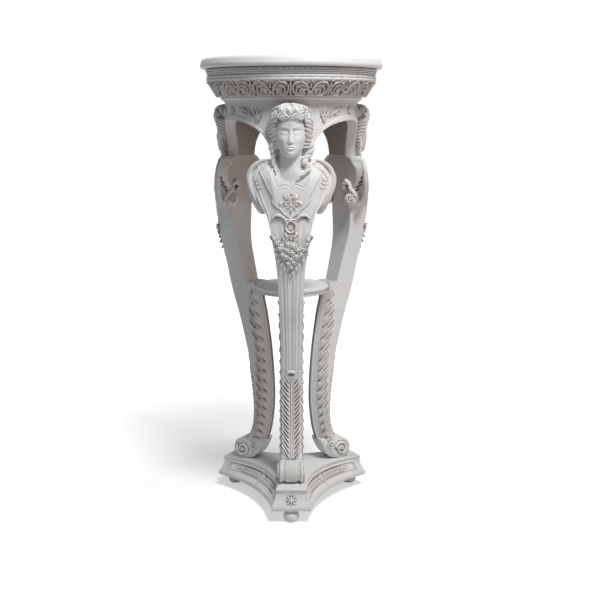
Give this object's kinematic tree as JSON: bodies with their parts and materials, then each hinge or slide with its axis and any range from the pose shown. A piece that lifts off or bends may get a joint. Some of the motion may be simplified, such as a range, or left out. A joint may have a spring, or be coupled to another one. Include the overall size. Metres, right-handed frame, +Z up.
{
  "type": "pedestal stand",
  "caption": "Tall round-topped pedestal stand in carved painted wood: herm legs with busts under an arcaded ring, a small shelf between them and a three-cornered plinth on bun feet.",
  "frame": {"origin": "centre of the object's footprint, on the floor under the column axis", "axes": "+Z up, +X to the right seen from the front, the front leg stands towards -Y"},
  "size_m": [0.456, 0.456, 1.15],
  "materials": {
    "carved_paint": "matt chalky off-white paint over carved wood",
    "slab_stone": "honed off-white stone with a faint speckle",
    "hidden_wood": "bare planed wood"
  },
  "bodies": {
    "root": {"apron_back": "carved_paint", "apron_left": "carved_paint", "apron_right": "carved_paint", "arch_rosettes": "carved_paint", "bracket_front": "carved_paint", "bracket_left": "carved_paint", "bracket_right": "carved_paint", "bun_foot_front": "carved_paint", "bun_foot_left": "carved_paint", "bun_foot_right": "carved_paint", "bust_front": "carved_paint", "bust_left": "carved_paint", "bust_right": "carved_paint", "corner_rosettes": "carved_paint", "cornice_ring": "carved_paint", "foot_dowels": "hidden_wood", "foot_scroll_front": "carved_paint", "foot_scroll_left": "carved_paint", "foot_scroll_right": "carved_paint", "foot_tenons": "hidden_wood", "frieze_lobes": "carved_paint", "frieze_ring": "carved_paint", "garland_front": "carved_paint", "garland_left": "carved_paint", "garland_right": "carved_paint", "glue_blocks": "hidden_wood", "leg_front": "carved_paint", "leg_left": "carved_paint", "leg_right": "carved_paint", "neck_ring": "carved_paint", "pier_tenons": "hidden_wood", "plinth_block": "carved_paint", "plinth_foot_board": "carved_paint", "plinth_top_board": "carved_paint", "shelf": "carved_paint", "shelf_tenons": "hidden_wood", "shin_leaf_front": "carved_paint", "shin_leaf_left": "carved_paint", "shin_leaf_right": "carved_paint", "shoulder_scrolls_front": "carved_paint", "shoulder_scrolls_left": "carved_paint", "shoulder_scrolls_right": "carved_paint", "side_panel_back": "carved_paint", "side_panel_left": "carved_paint", "side_panel_right": "carved_paint", "slab_pads": "hidden_wood", "spandrel_leaves": "carved_paint", "top_board": "hidden_wood", "top_slab": "slab_stone"}
  },
  "joints": []
}
